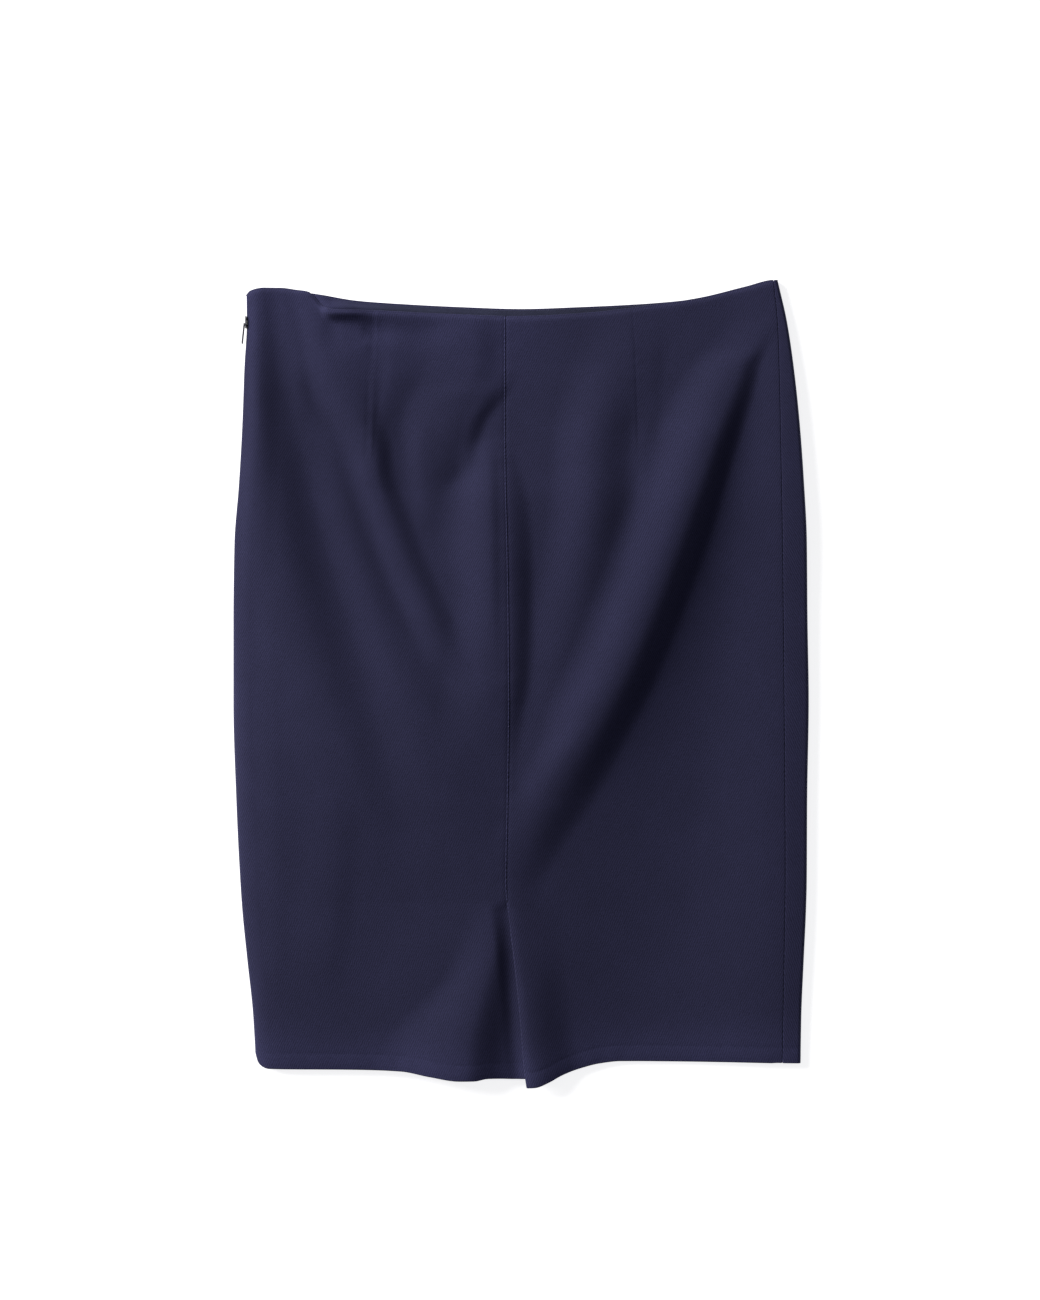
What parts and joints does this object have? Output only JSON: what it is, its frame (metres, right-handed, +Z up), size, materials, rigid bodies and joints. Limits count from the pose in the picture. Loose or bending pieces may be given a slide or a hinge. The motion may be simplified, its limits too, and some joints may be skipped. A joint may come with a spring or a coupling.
{
  "type": "pencil skirt",
  "caption": "Navy wool pencil skirt laid flat with its back up: back darts, centre back seam and vent, a side zip with a hinged pull tab.",
  "frame": {"origin": "on the surface that the skirt lies on, under the middle of its outline", "axes": "+X to the right with the back side up, +Y from the hem to the waist, +Z up off the surface"},
  "size_m": [0.4492, 0.6289, 0.0203],
  "materials": {
    "cloth": "matt navy wool twill",
    "facing": "matt navy wool twill, wrong side",
    "zip_tape": "navy woven zip tape with coil teeth",
    "zip_metal": "die-cast metal with a dark lacquer"
  },
  "bodies": {
    "skirt": {"front": "cloth", "back_left": "cloth", "back_right": "cloth", "front_facing": "facing", "zip_chain": "zip_tape", "zip_slider": "zip_metal"},
    "pull": {"zip_pull": "zip_metal"}
  },
  "joints": [
    {"name": "pull_swing", "type": "hinge", "parent": "skirt", "child": "pull", "pos_m": [-0.21605, 0.2807, 0.0038], "axis": [0, 0, -1], "range_deg": [-5, 144]}
  ]
}
